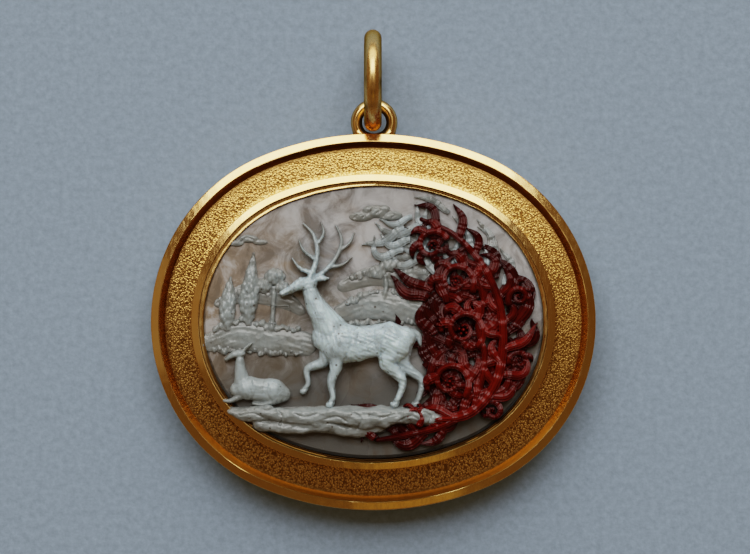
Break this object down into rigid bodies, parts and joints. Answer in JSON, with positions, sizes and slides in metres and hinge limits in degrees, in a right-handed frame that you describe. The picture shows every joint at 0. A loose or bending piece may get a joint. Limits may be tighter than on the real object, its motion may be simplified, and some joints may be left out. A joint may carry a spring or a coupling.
{
  "type": "cameo pendant",
  "caption": "Oval carved-stone cameo with a white stag and a red scrolling vine, in a matted gold frame with an eyelet and a swinging suspension ring.",
  "frame": {"origin": "centre of the closed back, on the surface that the pendant lies on", "axes": "+Z out of the carved front, +Y from the centre towards the suspension ring, +X to the right as seen from the front"},
  "size_m": [0.052, 0.0561, 0.0119],
  "materials": {
    "gold_frame": "gold, polished bevels round a matted field",
    "gold_collet": "polished gold",
    "agate": "polished layered agate, white and red relief on a translucent grey ground",
    "gold_ring": "polished gold, worn"
  },
  "bodies": {
    "pendant": {"frame": "gold_frame", "collet": "gold_collet", "cameo_stone": "agate"},
    "ring": {"suspension_ring": "gold_ring"}
  },
  "joints": [
    {"name": "ring_swing", "type": "hinge", "parent": "pendant", "child": "ring", "pos_m": [0, 0.02545, 0.00445], "axis": [1, 0, 0], "range_deg": [-67, 8]}
  ]
}
